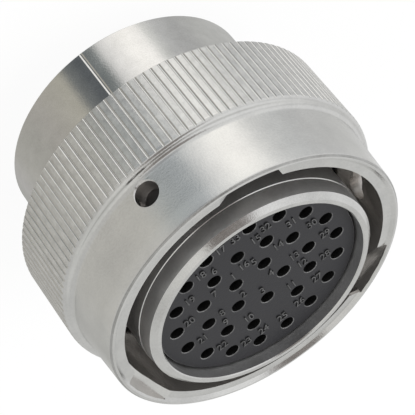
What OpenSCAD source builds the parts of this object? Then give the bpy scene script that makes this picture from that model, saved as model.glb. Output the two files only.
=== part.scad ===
// Circular bayonet connector plug: 33 socket contacts in a metal body, with a knurled quarter-turn ring.
// It stands on its rear face with the mating face up. Z is the mating axis and the key line is at +Y.
// Diameters grow outwards from the circles of contacts, and heights are counted down from the barrel mouth.

/* [Contact arrangement] */
// Number of contacts in the inner, middle and outer circles
circle_counts = [5, 11, 17];
// Angle between neighbours on each circle
circle_pitches = [72, 30.7, 20.5];
// Where each circle's open side, or its first contact, points
circle_sides = [270, 270, 90];
// Radius of the inner circle
inner_circle_r = 4.3; // [4:0.1:4.8]
// Step out to the middle circle
middle_circle_step = 4.7; // [4.4:0.1:5.2]
// Step out to the outer circle
outer_circle_step = 4.6; // [4.4:0.1:5.2]
// Distance from the outer circle to the inside of the mouth
circle_edge = 3.2; // [2.8:0.1:4]
// Diameter of each opening in the insert's face
face_hole_d = 2.2; // [1.8:0.1:2.4]
// Bevel at each opening
face_hole_bevel = 0.1; // [0.05:0.05:0.3]
// Depth of the narrow part of each opening
face_hole_depth = 2.8; // [1.5:0.1:3.5]

/* [Body] */
// Overall length, rear face to barrel mouth
overall_length = 39.5; // [37:0.5:46]
// Wall of the nose at the mouth
nose_wall = 1.6; // [1.2:0.1:2]
// Length of the nose
nose_length = 3.3; // [2:0.1:4]
// Bevel round the outside of the mouth
mouth_bevel = 0.8; // [0.4:0.1:1]
// How much the radius of the nose tapers towards the mouth
nose_taper = 0.3; // [0.2:0.1:0.6]
// Bevel round the barrel where the nose begins
nose_edge = 0.1; // [0.05:0.05:0.15]
// Angle of the main keyway from +X, degrees
keyway_angle = 270; // [0:5:355]
// Width of the main keyway along the barrel
keyway_w = 2.4; // [1.5:0.1:3.5]
// Depth of the keyway
keyway_depth = 0.6; // [0.3:0.1:0.8]
// Cross-section of the seal at the foot of the barrel
seal_section = 1.3; // [1:0.1:1.4]
// How far that seal stands out from the barrel
seal_proud = 0.3; // [0.2:0.05:0.5]
// Depth of the annular space, from the front edge of the ring to the flange
socket_depth = 13.4; // [12.5:0.1:14]
// Thickness of the flange that stops the mating body
flange_t = 3.4; // [2.5:0.1:4]
// Step from the rear barrel out to the flange
flange_step = 1; // [0.6:0.1:1.4]
// Wall of the smooth rear barrel
rear_wall = 2; // [1.5:0.1:2.5]
// Step from the mouth's inside out to the rear barrel's inside
rear_bore_step = 1.4; // [0.8:0.1:1.8]
// Distance from the flange's face down to the step inside that stops the front insert
inner_step_depth = 0.9; // [0.6:0.1:1.2]
// Bevel at the rear edge of the body
rear_bevel = 0.4; // [0.2:0.05:0.8]
// Width of the round-bottomed key line along the rear barrel
key_line_w = 0.6; // [0.4:0.1:1.5]
// Depth of the key line
key_line_depth = 0.1; // [0.05:0.05:0.3]

/* [Coupling ring] */
// Distance from the barrel mouth back to the front edge of the ring
ring_setback = 1.7; // [1:0.1:2.5]
// Height of the rim above the front faces of the lips
rim_step = 0.5; // [0.2:0.1:0.8]
// Radius that rounds the front edge
rim_round = 0.5; // [0.2:0.1:0.6]
// Wall outside the tracks at the front edge
rim_wall = 0.9; // [0.8:0.1:1.5]
// How much the radius of the smooth band grows from the front edge to the knurl
band_flare = 0.5; // [0:0.1:1]
// Step from the band out to the knurl
knurl_step = 1.4; // [1:0.1:2]
// Length of the knurled grip, from the back of the ring to the front of its rounded shoulder
knurl_length = 13.4; // [10:0.1:14]
// Radius that rounds the front end of the knurl
knurl_round = 0.8; // [0.4:0.1:1.2]
// Radius of the fillet between the knurl's shoulder and the band
band_fillet = 1; // [0.8:0.1:1.5]
// Number of grooves in the knurl
knurl_count = 126; // [90:6:144]
// Width of each round-bottomed groove
knurl_groove_w = 0.5; // [0.3:0.05:0.7]
// Depth of each groove
knurl_groove_depth = 0.15; // [0.1:0.05:0.25]
// Bevel at the rear end of the knurl
knurl_bevel = 0.4; // [0.2:0.05:0.8]
// Thickness of the inward flange near the back of the ring
ring_flange_t = 2.4; // [1.8:0.1:2.8]
// Depth of the recess behind that flange
rear_recess_depth = 1.9; // [1.8:0.1:2.4]

/* [Bayonet tracks] */
// Number of tracks
track_count = 3; // [2:1:3]
// Depth of each track in the wall
track_depth = 1.6; // [1.2:0.1:1.8]
// Width of each track along the axis
track_w = 2.4; // [2:0.1:2.8]
// Width of each entry in the front edge, degrees
entry_width = 25; // [20:1:30]
// How much wider an entry is at the bore than at the floor of its track, degrees
entry_flare = 3.2; // [0:0.2:5]
// Length of the sloped lead-in at one side of an entry, degrees
lead_in = 10; // [6:1:14]
// Drop of that lead-in
lead_in_drop = 1.75; // [1:0.05:2]
// Thickness of the lip's edge where a track goes under it
lip_edge = 0.5; // [0.3:0.1:0.8]
// Turn from the lead-in edge to the locked position, degrees
lock_turn = 103.5; // [95:0.5:108]
// Depth of the locked position behind the front edge
lock_depth = 7.5; // [7:0.1:8.5]
// Angle of the first lead-in edge from +X, degrees
first_entry = 84; // [60:1:100]
// Diameter of the holes that show the locked bayonet pins
sight_hole_d = 3.8; // [3:0.1:5]
// Depth of the countersink round each of those holes
sight_sink = 0.05; // [0.05:0.05:0.4]

/* [Contacts] */
// Diameter of a contact
contact_d = 2.5; // [2.3:0.1:2.6]
// Bore of the socket
socket_bore_d = 1.6; // [1.4:0.05:1.8]
// Depth of the socket's bore
socket_bore_depth = 7.5; // [5:0.5:9]
// Width of the slots that split the socket
socket_slot_w = 0.3; // [0.2:0.05:0.5]
// Length of those slots
socket_slot_length = 5; // [3:0.5:6]
// Diameter of the locking shoulder
shoulder_d = 3.2; // [2.9:0.05:3.3]
// Length of the shoulder
shoulder_length = 1.4; // [1:0.1:2]
// Distance from the contact's tip back to the shoulder
shoulder_setback = 15; // [13.6:0.1:16]
// Whole length of a contact
contact_length = 21; // [19.5:0.5:22.5]
// Bore of the crimp barrel
crimp_bore_d = 1.7; // [1.4:0.05:1.8]
// Depth of the crimp barrel
crimp_bore_depth = 4; // [3:0.5:4.5]

/* [Inserts and grommet] */
// Distance from the barrel mouth down to the insert's face
insert_recess = 1.9; // [1:0.1:2.5]
// Width of the open groove round the insert's face
face_groove_w = 0.2; // [0.1:0.05:0.6]
// Depth of that groove
face_groove_depth = 1; // [0.5:0.1:2]
// Web of the rear insert in front of the contacts' shoulders
shoulder_web = 1.3; // [0.8:0.1:1.6]
// Distance from the contacts' rear ends to the back of the rear insert
contact_recess = 0.9; // [0.4:0.1:2]
// Distance from the rear face of the body up to the grommet
grommet_recess = 1.5; // [0.8:0.1:3]
// Diameter of each wire hole in the grommet
wire_hole_d = 2.3; // [1.8:0.1:2.8]
// Height of the raised collar round each wire hole
wire_collar_h = 0.5; // [0.2:0.1:0.7]
// Wall of that collar
wire_collar_t = 0.6; // [0.3:0.1:0.8]

/* [Rings and washers] */
// Thickness of the retaining ring behind the coupling ring
snap_ring_t = 1.1; // [0.8:0.1:1.2]
// Radial width of the retaining ring
snap_ring_w = 2.05; // [1.6:0.05:2.4]
// How far the retaining ring sits into its groove
snap_ring_bite = 0.7; // [0.5:0.1:1]
// Space round the retaining ring inside the coupling ring's recess
snap_ring_room = 0.9; // [0.5:0.1:1.2]
// Opening in the retaining ring, degrees
snap_ring_opening = 24; // [10:1:40]
// Thickness of the thrust washer
thrust_washer_t = 0.8; // [0.5:0.1:1]
// Height of the wave washer
wave_h = 1.15; // [1:0.05:1.5]
// Thickness of the wave washer's strip
wave_strip_t = 0.3; // [0.2:0.05:0.4]
// Number of waves
wave_count = 4; // [3:1:6]

/* [Clearances and edges] */
// Radial running clearance of the coupling ring and thrust washer on the rear barrel
running_clearance = 0.08; // [0.03:0.01:0.1]
// Radial clearance round the flange inside the coupling ring
flange_clearance = 0.4; // [0.3:0.05:0.6]
// Space between other faces that move past each other
face_gap = 0.3; // [0.25:0.05:0.4]
// Space round pieces that are fitted and stay still
fitted_gap = 0.05; // [0.03:0.01:0.1]
// Radial clearance of the inserts in the body
insert_clearance = 0.1; // [0.05:0.05:0.2]
// Radial clearance of each contact in its cavity
contact_clearance = 0.15; // [0.1:0.05:0.2]
// Space between a contact's tip or shoulder and the plastic in front of it
tip_gap = 0.3; // [0.2:0.1:0.6]
// Bevel that breaks the small edges
edge_break = 0.15; // [0.1:0.05:0.25]

/* [Hidden] */
$fn = 96;
overcut = 1;
metal = [0.80, 0.81, 0.81];
spring_metal = [0.62, 0.63, 0.65];
hard_plastic = [0.28, 0.28, 0.30];
contact_metal = [0.78, 0.72, 0.58];
silicone = [0.45, 0.46, 0.48];
black_rubber = [0.08, 0.08, 0.08];

// Radii of the circles of contacts, and the diameters of the body that grow from them
middle_circle_r = inner_circle_r + middle_circle_step;
outer_circle_r = middle_circle_r + outer_circle_step;
circle_radii = [inner_circle_r, middle_circle_r, outer_circle_r];
mouth_d = 2 * (outer_circle_r + circle_edge);
nose_d = mouth_d + 2 * nose_wall;
barrel_d = nose_d + 2 * nose_taper;
seal_groove_d = barrel_d + 2 * (seal_proud - seal_section - fitted_gap);
rear_bore_d = mouth_d + 2 * rear_bore_step;
rear_d = rear_bore_d + 2 * rear_wall;
flange_d = rear_d + 2 * flange_step;

// Diameters of the coupling ring, the retaining ring and the washers
ring_bore_d = flange_d + 2 * flange_clearance;
track_floor_d = ring_bore_d + 2 * track_depth;
band_front_d = track_floor_d + 2 * rim_wall;
band_rear_d = band_front_d + 2 * band_flare;
knurl_d = band_rear_d + 2 * knurl_step;
ring_flange_bore_d = rear_d + 2 * running_clearance;
snap_groove_d = rear_d - 2 * snap_ring_bite;
snap_ring_inner_d = snap_groove_d + 2 * fitted_gap;
snap_ring_d = snap_ring_inner_d + 2 * snap_ring_w;
rear_recess_d = snap_ring_d + 2 * snap_ring_room;
washer_d = ring_bore_d - 2 * face_gap;

// Heights on the front of the ring and on the body
ring_front = overall_length - ring_setback;
lip_face = ring_front - rim_step;
lock_height = ring_front - lock_depth;
nose_start = overall_length - nose_length;
flange_front = ring_front - socket_depth;
flange_rear = flange_front - flange_t;
seal_groove_top = flange_front + seal_section + 2 * fitted_gap;

// Heights behind the flange: wave washer, thrust washer, ring flange, retaining ring, back of the ring
wave_top = flange_rear - fitted_gap;
wave_rear = wave_top - wave_h;
thrust_top = wave_rear - face_gap;
thrust_rear = thrust_top - thrust_washer_t;
ring_flange_top = thrust_rear - face_gap;
recess_top = ring_flange_top - ring_flange_t;
snap_ring_top = recess_top - face_gap;
snap_ring_rear = snap_ring_top - snap_ring_t;
ring_rear = recess_top - rear_recess_depth;
shoulder_front = ring_rear + knurl_length;
fillet_turn = acos(1 - (knurl_step - knurl_round) / band_fillet);
band_start = shoulder_front + band_fillet * sin(fillet_turn);

// Heights of a contact and of the inserts and grommet that hold it, counted from the insert's face
insert_face = overall_length - insert_recess;
narrow_end = insert_face - face_hole_depth;
contact_tip = narrow_end - tip_gap;
contact_rear = contact_tip - contact_length;
shoulder_top = contact_tip - shoulder_setback;
shoulder_rear = shoulder_top - shoulder_length;
shoulder_cavity_top = shoulder_top + tip_gap;
front_insert_rear = shoulder_cavity_top + shoulder_web;
rear_insert_rear = contact_rear - contact_recess;
insert_shoulder = flange_front - inner_step_depth;
cavity_d = contact_d + 2 * contact_clearance;
shoulder_cavity_d = shoulder_d + 2 * contact_clearance;
insert_body_d = mouth_d - 2 * insert_clearance;
insert_foot_d = rear_bore_d - 2 * insert_clearance;

// A circle of contacts that doesn't close starts half an open side past the angle that side points to
function circle_open(i) = 360 - (circle_counts[i] - 1) * circle_pitches[i];
function circle_start(i) = circle_sides[i]
    + (circle_open(i) > circle_pitches[i] ? circle_open(i) / 2 : 0);

cavities = [
    for (i = [0 : len(circle_counts) - 1], j = [0 : circle_counts[i] - 1])
        let (angle = circle_start(i) + j * circle_pitches[i])
            circle_radii[i] * [cos(angle), sin(angle)]
];

function contact_name(i) = str("contact_", i < 9 ? "0" : "", i + 1);

// Points along an arc in the radius and height plane
function arc(centre, r, from, to, steps = 6) =
    [for (i = [0 : steps])
        let (a = from + (to - from) * i / steps)
            centre + r * [cos(a), sin(a)]];

// A flat ring between two heights
module flat_ring(outer_d, inner_d, bottom, top) {
    difference() {
        translate([0, 0, bottom]) cylinder(d = outer_d, h = top - bottom);
        translate([0, 0, bottom - overcut]) cylinder(d = inner_d, h = top - bottom + 2 * overcut);
    }
}

// A groove with a round bottom along a barrel, on the +X side, as a solid to cut away
module hollow_groove(barrel_r, w, depth, bottom, top) {
    r = (pow(w / 2, 2) + pow(depth, 2)) / (2 * depth);
    translate([barrel_r - depth + r, 0, bottom])
        cylinder(r = r, h = top - bottom, $fn = 24);
}

// The same round hole at every contact position
module at_cavities(d, bottom, top, top_d = 0) {
    for (place = cavities)
        translate([place[0], place[1], bottom])
            cylinder(d1 = d, d2 = top_d > 0 ? top_d : d, h = top - bottom, $fn = 32);
}

module body() {
    color(metal)
    difference() {
        rotate_extrude() polygon([
            [rear_bore_d / 2 + rear_bevel, 0],
            [rear_d / 2 - rear_bevel, 0],
            [rear_d / 2, rear_bevel],
            [rear_d / 2, snap_ring_rear - fitted_gap],
            [snap_groove_d / 2, snap_ring_rear - fitted_gap],
            [snap_groove_d / 2, snap_ring_top + fitted_gap],
            [rear_d / 2, snap_ring_top + fitted_gap],
            [rear_d / 2, flange_rear],
            [flange_d / 2, flange_rear],
            [flange_d / 2, flange_front - edge_break],
            [flange_d / 2 - edge_break, flange_front],
            [seal_groove_d / 2, flange_front],
            [seal_groove_d / 2, seal_groove_top],
            [barrel_d / 2, seal_groove_top],
            [barrel_d / 2, nose_start - nose_edge],
            [barrel_d / 2 - nose_edge, nose_start],
            [nose_d / 2, overall_length - mouth_bevel],
            [nose_d / 2 - mouth_bevel, overall_length],
            [mouth_d / 2 + edge_break, overall_length],
            [mouth_d / 2, overall_length - edge_break],
            [mouth_d / 2, insert_shoulder],
            [rear_bore_d / 2, insert_shoulder],
            [rear_bore_d / 2, rear_bevel]
        ]);
        // main keyway, from the mouth to the seal
        rotate([0, 0, keyway_angle])
            translate([barrel_d / 2 - keyway_depth, -keyway_w / 2, seal_groove_top - overcut])
                cube([keyway_depth + overcut, keyway_w, overall_length - seal_groove_top + 2 * overcut]);
        // key line along the rear barrel
        rotate([0, 0, 90])
            hollow_groove(rear_d / 2, key_line_w, key_line_depth, -overcut, snap_ring_rear);
    }
}

module barrel_seal() {
    color(black_rubber)
    rotate_extrude()
        translate([seal_groove_d / 2 + fitted_gap + seal_section / 2,
                   flange_front + fitted_gap + seal_section / 2])
            circle(d = seal_section, $fn = 24);
}

module front_insert() {
    face_d = insert_body_d - 2 * face_groove_w;
    color(hard_plastic)
    difference() {
        rotate_extrude() polygon([
            [0, front_insert_rear],
            [insert_foot_d / 2, front_insert_rear],
            [insert_foot_d / 2, insert_shoulder],
            [insert_body_d / 2, insert_shoulder],
            [insert_body_d / 2, insert_face - face_groove_depth],
            [face_d / 2, insert_face - face_groove_depth],
            [face_d / 2, insert_face - edge_break],
            [face_d / 2 - edge_break, insert_face],
            [0, insert_face]
        ]);
        at_cavities(cavity_d, front_insert_rear - overcut, narrow_end);
        at_cavities(face_hole_d, narrow_end - overcut, insert_face + overcut);
        at_cavities(face_hole_d, insert_face - face_hole_bevel, insert_face + overcut,
                    face_hole_d + 2 * (face_hole_bevel + overcut));
    }
}

module rear_insert() {
    color(hard_plastic)
    difference() {
        translate([0, 0, rear_insert_rear])
            cylinder(d = insert_foot_d, h = front_insert_rear - rear_insert_rear);
        at_cavities(cavity_d, shoulder_cavity_top - overcut, front_insert_rear + overcut);
        at_cavities(shoulder_cavity_d, rear_insert_rear - overcut, shoulder_cavity_top);
    }
}

module grommet() {
    collar_d = wire_hole_d + 2 * wire_collar_t;
    color(silicone)
    difference() {
        union() {
            translate([0, 0, grommet_recess])
                cylinder(d = insert_foot_d, h = rear_insert_rear - grommet_recess);
            at_cavities(collar_d, grommet_recess - wire_collar_h, grommet_recess + overcut);
        }
        at_cavities(wire_hole_d, grommet_recess - wire_collar_h - overcut,
                    rear_insert_rear + overcut);
    }
}

module contact(place) {
    color(contact_metal)
    translate([place[0], place[1], 0])
        difference() {
            rotate_extrude($fn = 32) polygon([
                [crimp_bore_d / 2, contact_rear],
                [contact_d / 2, contact_rear],
                [contact_d / 2, shoulder_rear],
                [shoulder_d / 2, shoulder_rear],
                [shoulder_d / 2, shoulder_top],
                [contact_d / 2, shoulder_top],
                [contact_d / 2, contact_tip - edge_break],
                [contact_d / 2 - edge_break, contact_tip],
                [socket_bore_d / 2 + edge_break, contact_tip],
                [socket_bore_d / 2, contact_tip - edge_break],
                [socket_bore_d / 2, contact_tip - socket_bore_depth],
                [0, contact_tip - socket_bore_depth],
                [0, contact_rear + crimp_bore_depth],
                [crimp_bore_d / 2, contact_rear + crimp_bore_depth]
            ]);
            // slots that let the socket spring open
            for (turn = [0, 90])
                rotate([0, 0, turn])
                    translate([-contact_d, -socket_slot_w / 2, contact_tip - socket_slot_length])
                        cube([2 * contact_d, socket_slot_w, socket_slot_length + overcut]);
        }
}

module retaining_ring() {
    color(spring_metal)
    difference() {
        flat_ring(snap_ring_d, snap_ring_inner_d, snap_ring_rear, snap_ring_top);
        // open side, between two straight ends
        translate([0, 0, snap_ring_rear - overcut])
            linear_extrude(height = snap_ring_t + 2 * overcut)
                polygon([
                    [0, 0],
                    snap_ring_d * [sin(snap_ring_opening / 2), -cos(snap_ring_opening / 2)],
                    snap_ring_d * [-sin(snap_ring_opening / 2), -cos(snap_ring_opening / 2)]
                ]);
    }
}

module wave_washer() {
    steps = 18 * wave_count;
    inner_r = rear_d / 2 + face_gap;
    swing = (wave_h - wave_strip_t) / 2;
    function corner(i, r, z) =
        let (a = i * 360 / steps)
            [r * cos(a), r * sin(a), wave_rear + swing * (1 + cos(wave_count * a)) + z];
    points = [for (i = [0 : steps - 1])
        each [corner(i, inner_r, 0), corner(i, washer_d / 2, 0),
              corner(i, washer_d / 2, wave_strip_t), corner(i, inner_r, wave_strip_t)]];
    color(spring_metal)
        polyhedron(points, [for (i = [0 : steps - 1], k = [0 : 3])
            each strip_faces(i, (i + 1) % steps, k)]);
}

// Two triangles between corner k and the next one, from four-cornered section i to section j
function strip_faces(i, j, k) =
    let (a = 4 * i + k, b = 4 * i + (k + 1) % 4, c = 4 * j + (k + 1) % 4, d = 4 * j + k)
        [[a, c, b], [a, d, c]];

module thrust_washer() {
    color(metal)
        flat_ring(washer_d, ring_flange_bore_d, thrust_rear, thrust_top);
}

// Height of a track's lower wall, s degrees on from its lead-in edge
function track_low(s) = s < lead_in
    ? lip_face - lead_in_drop * s / lead_in
    : let (start = lip_face - lead_in_drop, end = lock_height - track_w / 2)
        start + (end - start) * (s - lead_in) / (lock_turn - lead_in);

// One bayonet track as a solid to cut away: a sloped lead-in, an open entry, then a helix
module track() {
    inner_r = ring_bore_d / 2 - overcut;
    floor_r = track_floor_d / 2;
    helix_steps = 16;
    step_turn = edge_break / floor_r * 180 / PI;
    covered_start = entry_width + step_turn;
    // each section: its turn, half the flare of the entry there, and its upper wall
    sections = concat(
        [for (s = [-step_turn, lead_in / 2, lead_in, (lead_in + entry_width) / 2])
            [s, 0, ring_front + overcut]],
        [[entry_width, entry_flare / 2, ring_front + overcut]],
        [for (i = [0 : helix_steps])
            let (s = covered_start + (lock_turn - covered_start) * i / helix_steps)
                [s, i == 0 ? entry_flare / 2 : 0, min(lip_face - lip_edge, track_low(s) + track_w)]]
    );
    function at(s, r, z) = [r * cos(-s), r * sin(-s), z];
    points = [for (q = sections)
        let (near = q[0] + q[1] * (1 + 2 * overcut / track_depth), far = q[0] - q[1])
            each [at(near, inner_r, track_low(near)), at(far, floor_r, track_low(far)),
                  at(far, floor_r, q[2]), at(near, inner_r, q[2])]];
    last = 4 * (len(sections) - 1);
    polyhedron(points, concat(
        [[0, 1, 2], [0, 2, 3]],
        [for (i = [0 : len(sections) - 2], k = [0 : 3])
            each [for (face = strip_faces(i, i + 1, k)) [face[0], face[2], face[1]]]],
        [[last, last + 2, last + 1], [last, last + 3, last + 2]]
    ));
}

module knurl_grooves() {
    for (i = [0 : knurl_count - 1])
        rotate([0, 0, (i + 0.5) * 360 / knurl_count])
            hollow_groove(knurl_d / 2, knurl_groove_w, knurl_groove_depth,
                          ring_rear - overcut, shoulder_front + overcut);
}

module sight_hole() {
    band_r = (band_rear_d + (band_front_d - band_rear_d)
        * (lock_height - band_start) / (ring_front - band_start)) / 2;
    sagitta = band_r - sqrt(pow(band_r, 2) - pow(sight_hole_d / 2, 2));
    translate([0, 0, lock_height])
        rotate([0, 90, 0]) {
            cylinder(d = sight_hole_d, h = knurl_d / 2, $fn = 48);
            translate([0, 0, band_r - sagitta - sight_sink])
                cylinder(d1 = sight_hole_d, d2 = sight_hole_d + 2 * overcut, h = overcut, $fn = 48);
        }
}

module coupling_ring() {
    color(metal)
    difference() {
        rotate_extrude() polygon(concat(
            [
                [rear_recess_d / 2, ring_rear],
                [knurl_d / 2 - knurl_bevel, ring_rear],
                [knurl_d / 2, ring_rear + knurl_bevel]
            ],
            arc([knurl_d / 2 - knurl_round, shoulder_front - knurl_round], knurl_round, 0, 75),
            arc([band_rear_d / 2 + band_fillet, band_start], band_fillet, 180 + fillet_turn, 180),
            arc([band_front_d / 2 - rim_round, ring_front - rim_round], rim_round, 0, 90, 4),
            [
                [(track_floor_d + rim_step) / 2, ring_front],
                [(track_floor_d - rim_step) / 2, lip_face],
                [ring_bore_d / 2, lip_face],
                [ring_bore_d / 2, ring_flange_top],
                [ring_flange_bore_d / 2, ring_flange_top],
                [ring_flange_bore_d / 2, recess_top],
                [rear_recess_d / 2, recess_top]
            ]
        ));
        knurl_grooves();
        for (i = [0 : track_count - 1])
            rotate([0, 0, first_entry + i * 360 / track_count]) {
                track();
                rotate([0, 0, -lock_turn]) sight_hole();
            }
    }
}

body();
barrel_seal();
front_insert();
rear_insert();
grommet();
retaining_ring();
wave_washer();
thrust_washer();
coupling_ring();
for (i = [0 : len(cavities) - 1])
    contact(cavities[i]);
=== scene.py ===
import math

import bmesh
import bpy
from mathutils import Matrix, Vector


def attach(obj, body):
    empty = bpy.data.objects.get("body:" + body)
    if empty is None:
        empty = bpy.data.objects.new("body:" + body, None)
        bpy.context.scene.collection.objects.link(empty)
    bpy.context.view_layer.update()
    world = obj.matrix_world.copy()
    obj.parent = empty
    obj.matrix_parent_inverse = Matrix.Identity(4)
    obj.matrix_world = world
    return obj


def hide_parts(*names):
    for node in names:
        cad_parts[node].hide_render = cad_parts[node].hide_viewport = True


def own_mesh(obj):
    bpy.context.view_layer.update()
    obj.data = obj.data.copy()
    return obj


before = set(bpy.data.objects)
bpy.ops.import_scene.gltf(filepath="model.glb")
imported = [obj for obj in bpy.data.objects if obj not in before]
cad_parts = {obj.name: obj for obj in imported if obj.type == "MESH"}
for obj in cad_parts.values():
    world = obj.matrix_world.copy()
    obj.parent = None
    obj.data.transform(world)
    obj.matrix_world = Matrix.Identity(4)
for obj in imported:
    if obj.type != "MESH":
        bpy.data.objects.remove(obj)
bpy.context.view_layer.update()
scene = bpy.context.scene
mm = 0.001
print("frame loaded")

view = {
    "place": (-0.0010, 0.2232, 0.1748),
    "right": (0.7918, -0.3406, 0.5070),
    "up": (0.6107, 0.4519, -0.6502),
    "lens": 158.9,
    "sensor": 36,
    "near": 0.01,
}


def addCamera():
    data = bpy.data.cameras.new("camera")
    data.lens = view["lens"]
    data.sensor_width = view["sensor"]
    data.clip_start = view["near"]
    camera = bpy.data.objects.new("camera", data)
    right = Vector(view["right"]).normalized()
    back = right.cross(Vector(view["up"])).normalized()
    turn = Matrix((right, back.cross(right), back)).transposed().to_4x4()
    camera.matrix_world = Matrix.Translation(view["place"]) @ turn
    scene.collection.objects.link(camera)
    scene.camera = camera


addCamera()
print("camera placed")


def addNode(tree, kind, **settings):
    node = tree.nodes.new(kind)
    for name, value in settings.items():
        setattr(node, name, value)
    return node


def newGroup(name, inputs, outputs):
    group = bpy.data.node_groups.new(name, "ShaderNodeTree")
    for label, kind, value in inputs:
        group.interface.new_socket(label, in_out="INPUT", socket_type=kind).default_value = value
    for label, kind in outputs:
        group.interface.new_socket(label, in_out="OUTPUT", socket_type=kind)
    entry = addNode(group, "NodeGroupInput")
    outlet = addNode(group, "NodeGroupOutput")
    return group, entry, outlet


# the mix node's colours are its inputs 6 and 7 and its output 2; input 0 is the share of the second colour
def addBlend(tree, share, first, second):
    blend = addNode(tree, "ShaderNodeMix", data_type="RGBA")
    tree.links.new(share, blend.inputs[0])
    tree.links.new(first, blend.inputs[6])
    tree.links.new(second, blend.inputs[7])
    return blend.outputs[2]


# tone of the studio seen in the metal: rings from low to high, each by compass direction from +X, in degrees,
# with the tone that stands for full strength and the plain backdrop behind the object
studio = {
    "rings": [
        {
            "height": -0.56,
            "stops": [
                (340, (0.55, 0.55, 0.54)),
                (2, (0.47, 0.47, 0.47)),
                (20, (0.56, 0.56, 0.56)),
                (30, (0.76, 0.76, 0.74)),
                (38, (1.16, 1.13, 1.10)),
                (50, (1.20, 1.17, 1.13)),
                (64, (0.98, 0.96, 0.94)),
                (73, (0.80, 0.79, 0.78)),
                (81, (0.22, 0.24, 0.24)),
                (96, (0.11, 0.12, 0.13)),
                (109, (0.20, 0.21, 0.21)),
                (117, (0.49, 0.47, 0.41)),
                (150, (0.45, 0.43, 0.40)),
                (172, (0.43, 0.42, 0.39)),
                (200, (0.48, 0.47, 0.44)),
                (228, (0.50, 0.49, 0.48)),
                (244, (0.43, 0.43, 0.41)),
                (270, (0.40, 0.40, 0.39)),
                (300, (0.55, 0.55, 0.54)),
            ],
        },
        {
            "height": -0.49,
            "stops": [
                (350, (0.62, 0.62, 0.62)),
                (10, (0.66, 0.67, 0.67)),
                (28, (0.80, 0.80, 0.79)),
                (42, (1.16, 1.14, 1.10)),
                (54, (1.22, 1.20, 1.15)),
                (70, (0.85, 0.85, 0.84)),
                (84, (0.50, 0.53, 0.55)),
                (104, (0.50, 0.53, 0.53)),
                (122, (0.60, 0.59, 0.56)),
                (150, (0.56, 0.55, 0.52)),
                (190, (0.60, 0.59, 0.56)),
                (212, (0.54, 0.54, 0.52)),
                (230, (0.46, 0.46, 0.44)),
                (252, (0.68, 0.68, 0.67)),
                (290, (0.86, 0.86, 0.86)),
                (310, (0.66, 0.66, 0.65)),
            ],
        },
        {
            "height": -0.05,
            "stops": [
                (0, (0.80, 0.80, 0.80)),
                (72, (0.84, 0.84, 0.83)),
                (82, (0.34, 0.35, 0.36)),
                (100, (0.34, 0.35, 0.36)),
                (112, (0.58, 0.57, 0.55)),
                (180, (0.56, 0.56, 0.55)),
                (250, (0.62, 0.62, 0.61)),
                (300, (0.74, 0.74, 0.74)),
            ],
        },
        {
            "height": 0.30,
            "stops": [
                (0, (0.78, 0.78, 0.78)),
                (72, (0.80, 0.80, 0.79)),
                (82, (0.40, 0.41, 0.42)),
                (100, (0.40, 0.41, 0.42)),
                (112, (0.58, 0.57, 0.55)),
                (180, (0.56, 0.56, 0.55)),
                (250, (0.64, 0.64, 0.63)),
                (300, (0.74, 0.74, 0.74)),
            ],
        },
        {
            "height": 0.57,
            "stops": [
                (0, (0.66, 0.66, 0.66)),
                (90, (0.80, 0.80, 0.79)),
                (120, (0.58, 0.57, 0.55)),
                (220, (0.56, 0.56, 0.55)),
                (262, (0.59, 0.59, 0.58)),
            ],
        },
        {
            "height": 0.72,
            "stops": [
                (0, (0.84, 0.84, 0.84)),
                (44, (0.88, 0.88, 0.88)),
                (55, (0.24, 0.22, 0.21)),
                (105, (0.20, 0.18, 0.17)),
                (114, (0.78, 0.77, 0.75)),
                (180, (0.62, 0.62, 0.60)),
                (270, (0.70, 0.70, 0.69)),
            ],
        },
    ],
    "brightest": 1.5,
    "backdrop": (1, 1, 1, 1),
}


def compassRamp(tree, stops):
    link = tree.links.new
    place = addNode(tree, "ShaderNodeTexCoord")
    compass = addNode(tree, "ShaderNodeTexGradient", gradient_type="RADIAL")
    ramp = addNode(tree, "ShaderNodeValToRGB")
    link(place.outputs["Generated"], compass.inputs["Vector"])
    link(compass.outputs["Fac"], ramp.inputs["Fac"])
    # the radial gradient is 0 at -X and runs up to 1 all the way round, so both ends get the same tone
    marks = sorted(((angle / 360 + 0.5) % 1, Vector(colour)) for angle, colour in stops)
    first, last = marks[0], marks[-1]
    seam = last[1].lerp(first[1], (1 - last[0]) / (1 - last[0] + first[0]))
    marks = [(0, seam), *marks, (1, seam)]
    elements = ramp.color_ramp.elements
    for position, colour in marks:
        # a new ramp already holds its stops at 0 and 1
        stop = elements.new(position) if 0 < position < 1 else elements[0 if position == 0 else -1]
        stop.position = position
        stop.color = (*(colour / studio["brightest"]), 1)
    return ramp.outputs["Color"]


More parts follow.
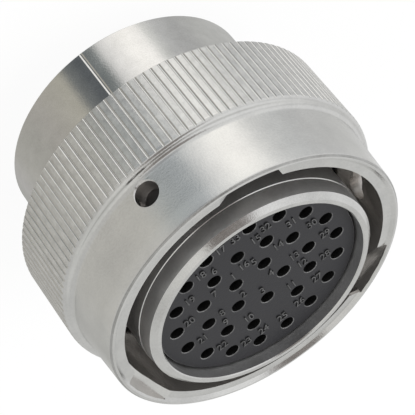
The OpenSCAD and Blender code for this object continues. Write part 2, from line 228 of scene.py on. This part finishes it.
def setStudio():
    world = bpy.data.worlds.new("studio")
    scene.world = world
    world.use_nodes = True
    tree = world.node_tree
    tree.nodes.clear()
    link = tree.links.new
    place = addNode(tree, "ShaderNodeTexCoord")
    split = addNode(tree, "ShaderNodeSeparateXYZ")
    link(place.outputs["Generated"], split.inputs[0])
    rings = studio["rings"]
    tone = compassRamp(tree, rings[0]["stops"])
    for lower, upper in zip(rings, rings[1:]):
        height = addNode(tree, "ShaderNodeMapRange", interpolation_type="SMOOTHSTEP")
        height.inputs["From Min"].default_value = lower["height"]
        height.inputs["From Max"].default_value = upper["height"]
        link(split.outputs["Z"], height.inputs["Value"])
        tone = addBlend(tree, height.outputs["Result"], tone, compassRamp(tree, upper["stops"]))
    room = addNode(tree, "ShaderNodeBackground")
    room.inputs["Strength"].default_value = studio["brightest"]
    link(tone, room.inputs["Color"])
    backdrop = addNode(tree, "ShaderNodeBackground")
    backdrop.inputs["Color"].default_value = studio["backdrop"]
    rays = addNode(tree, "ShaderNodeLightPath")
    mix = addNode(tree, "ShaderNodeMixShader")
    out = addNode(tree, "ShaderNodeOutputWorld")
    link(rays.outputs["Is Camera Ray"], mix.inputs["Fac"])
    link(room.outputs["Background"], mix.inputs[1])
    link(backdrop.outputs["Background"], mix.inputs[2])
    link(mix.outputs["Shader"], out.inputs["Surface"])


lamps = {
    "keyLamp": {"place": (0.25, -0.05, 0.45), "aim": (0, 0, 0.03), "size": 0.35, "watts": 1.6},
    "fillLamp": {"place": (-0.35, 0.20, 0.30), "aim": (0, 0, 0.03), "size": 0.30, "watts": 0.6},
}


def addLamps():
    for name, lamp in lamps.items():
        data = bpy.data.lights.new(name, "AREA")
        data.shape = "SQUARE"
        data.size = lamp["size"]
        data.energy = lamp["watts"]
        light = bpy.data.objects.new(name, data)
        aim = Vector(lamp["aim"]) - Vector(lamp["place"])
        turn = aim.to_track_quat("-Z", "Y").to_matrix().to_4x4()
        light.matrix_world = Matrix.Translation(lamp["place"]) @ turn
        light.visible_glossy = False
        scene.collection.objects.link(light)


floor = {"size": 4.0, "colour": (0.9, 0.9, 0.9, 1), "glow": 0.93}


def addFloor():
    mesh = bpy.data.meshes.new("floor")
    shape = bmesh.new()
    bmesh.ops.create_grid(shape, x_segments=1, y_segments=1, size=floor["size"] / 2)
    shape.to_mesh(mesh)
    shape.free()
    sheet = bpy.data.objects.new("floor", mesh)
    scene.collection.objects.link(sheet)
    sheet.visible_glossy = False
    material = bpy.data.materials.new("palePaper")
    material.use_nodes = True
    tree = material.node_tree
    tree.nodes.clear()
    link = tree.links.new
    matt = addNode(tree, "ShaderNodeBsdfDiffuse")
    matt.inputs["Color"].default_value = floor["colour"]
    glow = addNode(tree, "ShaderNodeEmission")
    rays = addNode(tree, "ShaderNodeLightPath")
    share = addNode(tree, "ShaderNodeMath", operation="MULTIPLY")
    share.inputs[1].default_value = floor["glow"]
    mix = addNode(tree, "ShaderNodeMixShader")
    out = addNode(tree, "ShaderNodeOutputMaterial")
    link(rays.outputs["Is Camera Ray"], share.inputs[0])
    link(share.outputs[0], mix.inputs["Fac"])
    link(matt.outputs[0], mix.inputs[1])
    link(glow.outputs[0], mix.inputs[2])
    link(mix.outputs[0], out.inputs["Surface"])
    mesh.materials.append(material)


setStudio()
addLamps()
addFloor()
print("studio set")


# slow patches of tone over a surface and the fine grain on them: the part of each noise's range that is used,
# from "low" to "high", and its share of the whole tone
noises = {
    "Patch Size": {"detail": 3, "low": 0.3, "high": 0.7, "share": 0.65},
    "Grain Size": {"detail": 2, "low": 0.35, "high": 0.65, "share": 0.35},
}


# noise with features of the size that the named input gives, in metres, plain and as its share of the tone
def addNoise(group, entry, label):
    link = group.links.new
    values = noises[label]
    place = addNode(group, "ShaderNodeTexCoord")
    scale = addNode(group, "ShaderNodeMath", operation="DIVIDE")
    scale.inputs[0].default_value = 1
    link(entry.outputs[label], scale.inputs[1])
    noise = addNode(group, "ShaderNodeTexNoise")
    noise.inputs["Detail"].default_value = values["detail"]
    link(place.outputs["Object"], noise.inputs["Vector"])
    link(scale.outputs[0], noise.inputs["Scale"])
    spread = addNode(group, "ShaderNodeMapRange")
    spread.inputs["From Min"].default_value = values["low"]
    spread.inputs["From Max"].default_value = values["high"]
    spread.inputs["To Max"].default_value = values["share"]
    link(noise.outputs["Fac"], spread.inputs["Value"])
    return noise.outputs["Fac"], spread.outputs["Result"]


def buildSurfaceGroup():
    group, entry, outlet = newGroup(
        "surfaceVariation",
        [
            ("Patch Size", "NodeSocketFloat", 0.008),
            ("Grain Size", "NodeSocketFloat", 0.0003),
            ("Dark", "NodeSocketColor", (0.5, 0.5, 0.5, 1)),
            ("Light", "NodeSocketColor", (0.6, 0.6, 0.6, 1)),
            ("Smoothest", "NodeSocketFloat", 0.25),
            ("Roughest", "NodeSocketFloat", 0.35),
        ],
        [("Colour", "NodeSocketColor"), ("Roughness", "NodeSocketFloat"), ("Height", "NodeSocketFloat")],
    )
    link = group.links.new
    patchTone = addNoise(group, entry, "Patch Size")[1]
    grain, grainTone = addNoise(group, entry, "Grain Size")
    both = addNode(group, "ShaderNodeMath", operation="ADD")
    link(patchTone, both.inputs[0])
    link(grainTone, both.inputs[1])
    tone = addBlend(group, both.outputs[0], entry.outputs["Dark"], entry.outputs["Light"])
    rough = addNode(group, "ShaderNodeMapRange")
    link(both.outputs[0], rough.inputs["Value"])
    link(entry.outputs["Smoothest"], rough.inputs["To Min"])
    link(entry.outputs["Roughest"], rough.inputs["To Max"])
    link(tone, outlet.inputs["Colour"])
    link(rough.outputs["Result"], outlet.inputs["Roughness"])
    link(grain, outlet.inputs["Height"])
    return group


surfaceGroup = buildSurfaceGroup()

finishes = {
    "satinNickel": {
        "dark": (0.70, 0.70, 0.69), "light": (0.82, 0.82, 0.805), "smoothest": 0.15, "roughest": 0.24,
        "patch": 0.0035, "grain": 0.0003, "bump": 0.00001, "metallic": 1.0,
    },
    "polishedNickel": {
        "dark": (0.69, 0.69, 0.675), "light": (0.82, 0.82, 0.805), "smoothest": 0.09, "roughest": 0.15,
        "patch": 0.0022, "grain": 0.00025, "bump": 0.000006, "metallic": 1.0,
    },
    "knurledNickel": {
        "dark": (0.68, 0.68, 0.67), "light": (0.91, 0.91, 0.895), "smoothest": 0.32, "roughest": 0.46,
        "patch": 0.0011, "grain": 0.00025, "bump": 0.00003, "metallic": 1.0,
    },
    "rimNickel": {
        "dark": (0.42, 0.42, 0.41), "light": (0.62, 0.62, 0.61), "smoothest": 0.28, "roughest": 0.42,
        "patch": 0.003, "grain": 0.00035, "bump": 0.00003, "metallic": 1.0,
    },
    "boredNickel": {
        "dark": (0.48, 0.455, 0.435), "light": (0.58, 0.555, 0.53), "smoothest": 0.16, "roughest": 0.26,
        "patch": 0.005, "grain": 0.0004, "bump": 0.00001, "metallic": 0.87,
    },
    "noseNickel": {
        "dark": (0.54, 0.555, 0.56), "light": (0.66, 0.675, 0.68), "smoothest": 0.11, "roughest": 0.18,
        "patch": 0.005, "grain": 0.0004, "bump": 0.000006, "metallic": 0.97,
    },
    "mouthNickel": {
        "dark": (0.62, 0.62, 0.62), "light": (0.74, 0.74, 0.74), "smoothest": 0.30, "roughest": 0.42,
        "patch": 0.004, "grain": 0.0004, "bump": 0.00001, "metallic": 0.9,
    },
    "springSteel": {
        "dark": (0.42, 0.42, 0.43), "light": (0.52, 0.52, 0.53), "smoothest": 0.25, "roughest": 0.38,
        "patch": 0.006, "grain": 0.0003, "bump": 0.00001, "metallic": 1.0,
    },
    "insertPlastic": {
        "dark": (0.009, 0.009, 0.012), "light": (0.016, 0.016, 0.019), "smoothest": 0.34, "roughest": 0.48,
        "patch": 0.006, "grain": 0.0003, "bump": 0.00002, "metallic": 0.0,
    },
    # the walls inside the cavities: the insert's black plastic made darker still, painted shade in the holes
    "cavityPlasticPaintedShade": {
        "dark": (0.004, 0.004, 0.004), "light": (0.008, 0.008, 0.008), "smoothest": 0.40, "roughest": 0.55,
        "patch": 0.003, "grain": 0.0003, "bump": 0.00001, "metallic": 0.0,
    },
    # the bevels at the mouths of the cavities: the insert's black plastic made light grey, a painted highlight
    "edgePlasticPaintedGlint": {
        "dark": (0.06, 0.06, 0.062), "light": (0.22, 0.22, 0.222), "smoothest": 0.20, "roughest": 0.30,
        "patch": 0.002, "grain": 0.0003, "bump": 0.00001, "metallic": 0.0,
    },
    # tops of the raised numbers: the insert's plastic made lighter, a painted highlight
    "numberPlasticPaintedHighlight": {
        "dark": (0.020, 0.020, 0.021), "light": (0.120, 0.120, 0.123), "smoothest": 0.22, "roughest": 0.34,
        "patch": 0.002, "grain": 0.0002, "bump": 0.00001, "metallic": 0.0,
    },
    # sides of the raised numbers: near black, painted shade around each figure
    "numberSidePaintedShade": {
        "dark": (0.003, 0.003, 0.003), "light": (0.006, 0.006, 0.006), "smoothest": 0.30, "roughest": 0.42,
        "patch": 0.001, "grain": 0.0002, "bump": 0.00001, "metallic": 0.0,
    },
    "tinnedContact": {
        "dark": (0.50, 0.47, 0.40), "light": (0.62, 0.58, 0.50), "smoothest": 0.22, "roughest": 0.34,
        "patch": 0.002, "grain": 0.0002, "bump": 0.000005, "metallic": 1.0,
    },
    "wireSeal": {
        "dark": (0.10, 0.105, 0.115), "light": (0.15, 0.155, 0.165), "smoothest": 0.50, "roughest": 0.68,
        "patch": 0.005, "grain": 0.0003, "bump": 0.00002, "metallic": 0.0,
    },
    "sealRubber": {
        "dark": (0.018, 0.018, 0.018), "light": (0.032, 0.032, 0.033), "smoothest": 0.45, "roughest": 0.60,
        "patch": 0.004, "grain": 0.0003, "bump": 0.00001, "metallic": 0.0,
    },
}


def addFinish(name, finish):
    material = bpy.data.materials.new(name)
    material.use_nodes = True
    tree = material.node_tree
    shader = tree.nodes["Principled BSDF"]
    shader.inputs["Metallic"].default_value = finish["metallic"]
    variation = addNode(tree, "ShaderNodeGroup", node_tree=surfaceGroup)
    variation.inputs["Patch Size"].default_value = finish["patch"]
    variation.inputs["Grain Size"].default_value = finish["grain"]
    for label in ("Dark", "Light"):
        variation.inputs[label].default_value = (*finish[label.lower()], 1)
    for label in ("Smoothest", "Roughest"):
        variation.inputs[label].default_value = finish[label.lower()]
    bump = addNode(tree, "ShaderNodeBump")
    bump.inputs["Distance"].default_value = finish["bump"]
    link = tree.links.new
    link(variation.outputs["Colour"], shader.inputs["Base Color"])
    link(variation.outputs["Roughness"], shader.inputs["Roughness"])
    link(variation.outputs["Height"], bump.inputs["Height"])
    link(bump.outputs["Normal"], shader.inputs["Normal"])
    return material


materials = {name: addFinish(name, finish) for name, finish in finishes.items()}
print("finishes made")

def reach(node):
    corners = [vertex.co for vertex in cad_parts[node].data.vertices]
    return {
        "radius": max(math.hypot(place.x, place.y) for place in corners),
        "low": min(place.z for place in corners),
        "high": max(place.z for place in corners),
    }


ring = reach("coupling_ring")
insert = reach("front_insert")

# borders between the finishes on one piece, in from its edges
borders = {
    "knurlLength": 13.1 * mm,
    "knurlSkin": 0.7 * mm,
    "rimDepth": 3.2 * mm,
    "rimWidth": 2.4 * mm,
    "noseSkin": 1.1 * mm,
    "cavityEdge": 1.0 * mm,
}

# shares of a face's normal: a wall points up by less than "wall", a flat face by more than "flat", and a land of
# the knurl points outward by more than "land"
facings = {"wall": 0.35, "flat": 0.96, "land": 0.996}


def ringFinish(radius, height, lift, outward):
    if radius > ring["radius"] - borders["knurlSkin"] and height < ring["low"] + borders["knurlLength"]:
        return "knurledNickel" if outward > facings["land"] else "satinNickel"
    nearRim = height > ring["high"] - borders["rimDepth"] and lift > facings["wall"]
    if radius > ring["radius"] - borders["rimWidth"]:
        return "rimNickel" if nearRim and lift < facings["flat"] else "satinNickel"
    return "satinNickel" if nearRim else "boredNickel"


def bodyFinish(radius, height, lift, outward):
    if height < ring["low"]:
        return "polishedNickel"
    if abs(lift) > facings["wall"]:
        return "satinNickel"
    return "noseNickel" if radius > insert["radius"] + borders["noseSkin"] else "mouthNickel"


# the face and rim of the insert keep its plain plastic; the walls inside the cavities get painted shade
def insertFinish(radius, height, lift, outward):
    if lift > facings["flat"] or radius > insert["radius"] - borders["cavityEdge"]:
        return "insertPlastic"
    # walls inside the cavities get painted shade, and the bevels at their mouths a painted highlight
    return "cavityPlasticPaintedShade" if lift < facings["wall"] else "edgePlasticPaintedGlint"


# the tops of the numbers get a painted highlight and their sides painted shade
def numberFinish(radius, height, lift, outward):
    return "numberPlasticPaintedHighlight" if lift > facings["flat"] else "numberSidePaintedShade"


# the body each piece rides on, its material slot, and its finish or the function that picks one by place
dressing = {
    "body": ("plug_body", "metal", bodyFinish),
    "barrel_seal": ("plug_body", "black_rubber", "sealRubber"),
    "front_insert": ("plug_body", "hard_plastic", insertFinish),
    "rear_insert": ("plug_body", "hard_plastic", "insertPlastic"),
    "grommet": ("plug_body", "silicone", "wireSeal"),
    "retaining_ring": ("plug_body", "spring_metal", "springSteel"),
    "wave_washer": ("plug_body", "spring_metal", "springSteel"),
    "thrust_washer": ("float_washer", "metal", "springSteel"),
    "coupling_ring": ("ring", "metal", ringFinish),
}
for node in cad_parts:
    if node.startswith("contact_"):
        dressing[node] = ("plug_body", "contact_metal", "tinnedContact")


def paintAreas(mesh, finish):
    names = []
    for side in mesh.polygons:
        middle, normal = side.center, side.normal
        radius = math.hypot(middle.x, middle.y)
        outward = normal.xy.dot(middle.xy) / radius if radius else 0
        name = finish(radius, middle.z, normal.z, outward) if callable(finish) else finish
        if name not in names:
            names.append(name)
            mesh.materials.append(materials[name])
        side.material_index = names.index(name)


# corners closer than "merge" become one, and an edge that bends by more than "sharpAngle" degrees stays sharp
skin = {"merge": 0.0005 * mm, "sharpAngle": 34}


# a merged, smooth copy of a frame piece stands in for its loose triangles
def dressNode(node):
    body, slot, finish = dressing[node]
    shape = bmesh.new()
    shape.from_mesh(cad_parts[node].data)
    bmesh.ops.remove_doubles(shape, verts=shape.verts, dist=skin["merge"])
    mesh = bpy.data.meshes.new(node + "Skin")
    shape.to_mesh(mesh)
    shape.free()
    # the frame's own corner normals would hide the smooth shading
    mesh.attributes.remove(mesh.attributes["custom_normal"])
    mesh.shade_smooth()
    mesh.set_sharp_from_angle(angle=math.radians(skin["sharpAngle"]))
    paintAreas(mesh, finish)
    piece = bpy.data.objects.new(node + "Skin", mesh)
    scene.collection.objects.link(piece)
    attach(piece, body)
    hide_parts(node)
    return piece


pieces = {node: dressNode(node) for node in dressing}
print("pieces dressed")


# the wave washer gets a mesh of its own
def pressWasher():
    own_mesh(pieces["wave_washer"])


pressWasher()

# plain cavity numbers, each standing beside its own cavity: every circle is numbered leftwards from "startAngle",
# "towards" is the direction from a cavity to its number, both in degrees from +X, and "capShare" is the height of
# a figure as a share of the font's size
numbering = {
    "size": 1.5 * mm,
    "capShare": 0.7,
    "narrow": 0.8,
    "stand": 0.26 * mm,
    "edge": 0.06 * mm,
    "curveSteps": 3,
    "merge": 0.001 * mm,
    "step": 2.5 * mm,
    "startAngle": 91,
    "towards": [
        [80, 50, 90, 130, 115],
        [70, 25, 10, 75, 90, 95, 105, 165, 160, 115, 270],
        [5, 5, 10, 15, -10, -15, -5, 55, 90, 125, 125, 130, 125, 145, 170, 180, 175],
    ],
}


def middleOf(node):
    corners = [vertex.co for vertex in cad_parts[node].data.vertices]
    across = [corner.x for corner in corners]
    along = [corner.y for corner in corners]
    return Vector(((min(across) + max(across)) / 2, (min(along) + max(along)) / 2, 0))


# contact places by circle from the middle out, each circle turning left from its top
def cavityCircles():
    circles = {}
    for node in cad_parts:
        if node.startswith("contact_"):
            place = middleOf(node)
            circles.setdefault(round(place.length / mm), []).append(place)

    def turn(place):
        return (math.degrees(math.atan2(place.y, place.x)) - numbering["startAngle"]) % 360

    return [sorted(circles[radius], key=turn) for radius in sorted(circles)]


def numberShape(number):
    curve = bpy.data.curves.new("numberCurve", "FONT")
    curve.body = str(number)
    curve.align_x = "CENTER"
    curve.align_y = "CENTER"
    curve.resolution_u = numbering["curveSteps"]
    curve.size = numbering["size"] / numbering["capShare"]
    curve.extrude = numbering["stand"] / 2
    curve.bevel_depth = numbering["edge"]
    curve.bevel_resolution = 0
    outline = bpy.data.objects.new("numberOutline", curve)
    mesh = bpy.data.meshes.new_from_object(outline)
    bpy.data.objects.remove(outline)
    return mesh


def addNumbers():
    shape = bmesh.new()
    places = [place for circle in cavityCircles() for place in circle]
    directions = [math.radians(angle) for circle in numbering["towards"] for angle in circle]
    narrow = Matrix.Diagonal((numbering["narrow"], 1, 1, 1))
    for number, (place, direction) in enumerate(zip(places, directions), start=1):
        step = Vector((math.cos(direction), math.sin(direction), 0)) * numbering["step"]
        middle = place + step + Vector((0, 0, insert["high"]))
        mesh = numberShape(number)
        mesh.transform(Matrix.Translation(middle) @ narrow)
        shape.from_mesh(mesh)
        bpy.data.meshes.remove(mesh)
    bmesh.ops.remove_doubles(shape, verts=shape.verts, dist=numbering["merge"])
    bmesh.ops.recalc_face_normals(shape, faces=shape.faces)
    mesh = bpy.data.meshes.new("cavityNumbers")
    shape.to_mesh(mesh)
    shape.free()
    paintAreas(mesh, numberFinish)
    piece = bpy.data.objects.new("cavityNumbers", mesh)
    scene.collection.objects.link(piece)
    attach(piece, "plug_body")
    print("cavity numbers", len(places), "corners", len(mesh.vertices))


addNumbers()

scene.view_settings.view_transform = "Standard"
bpy.context.view_layer.update()
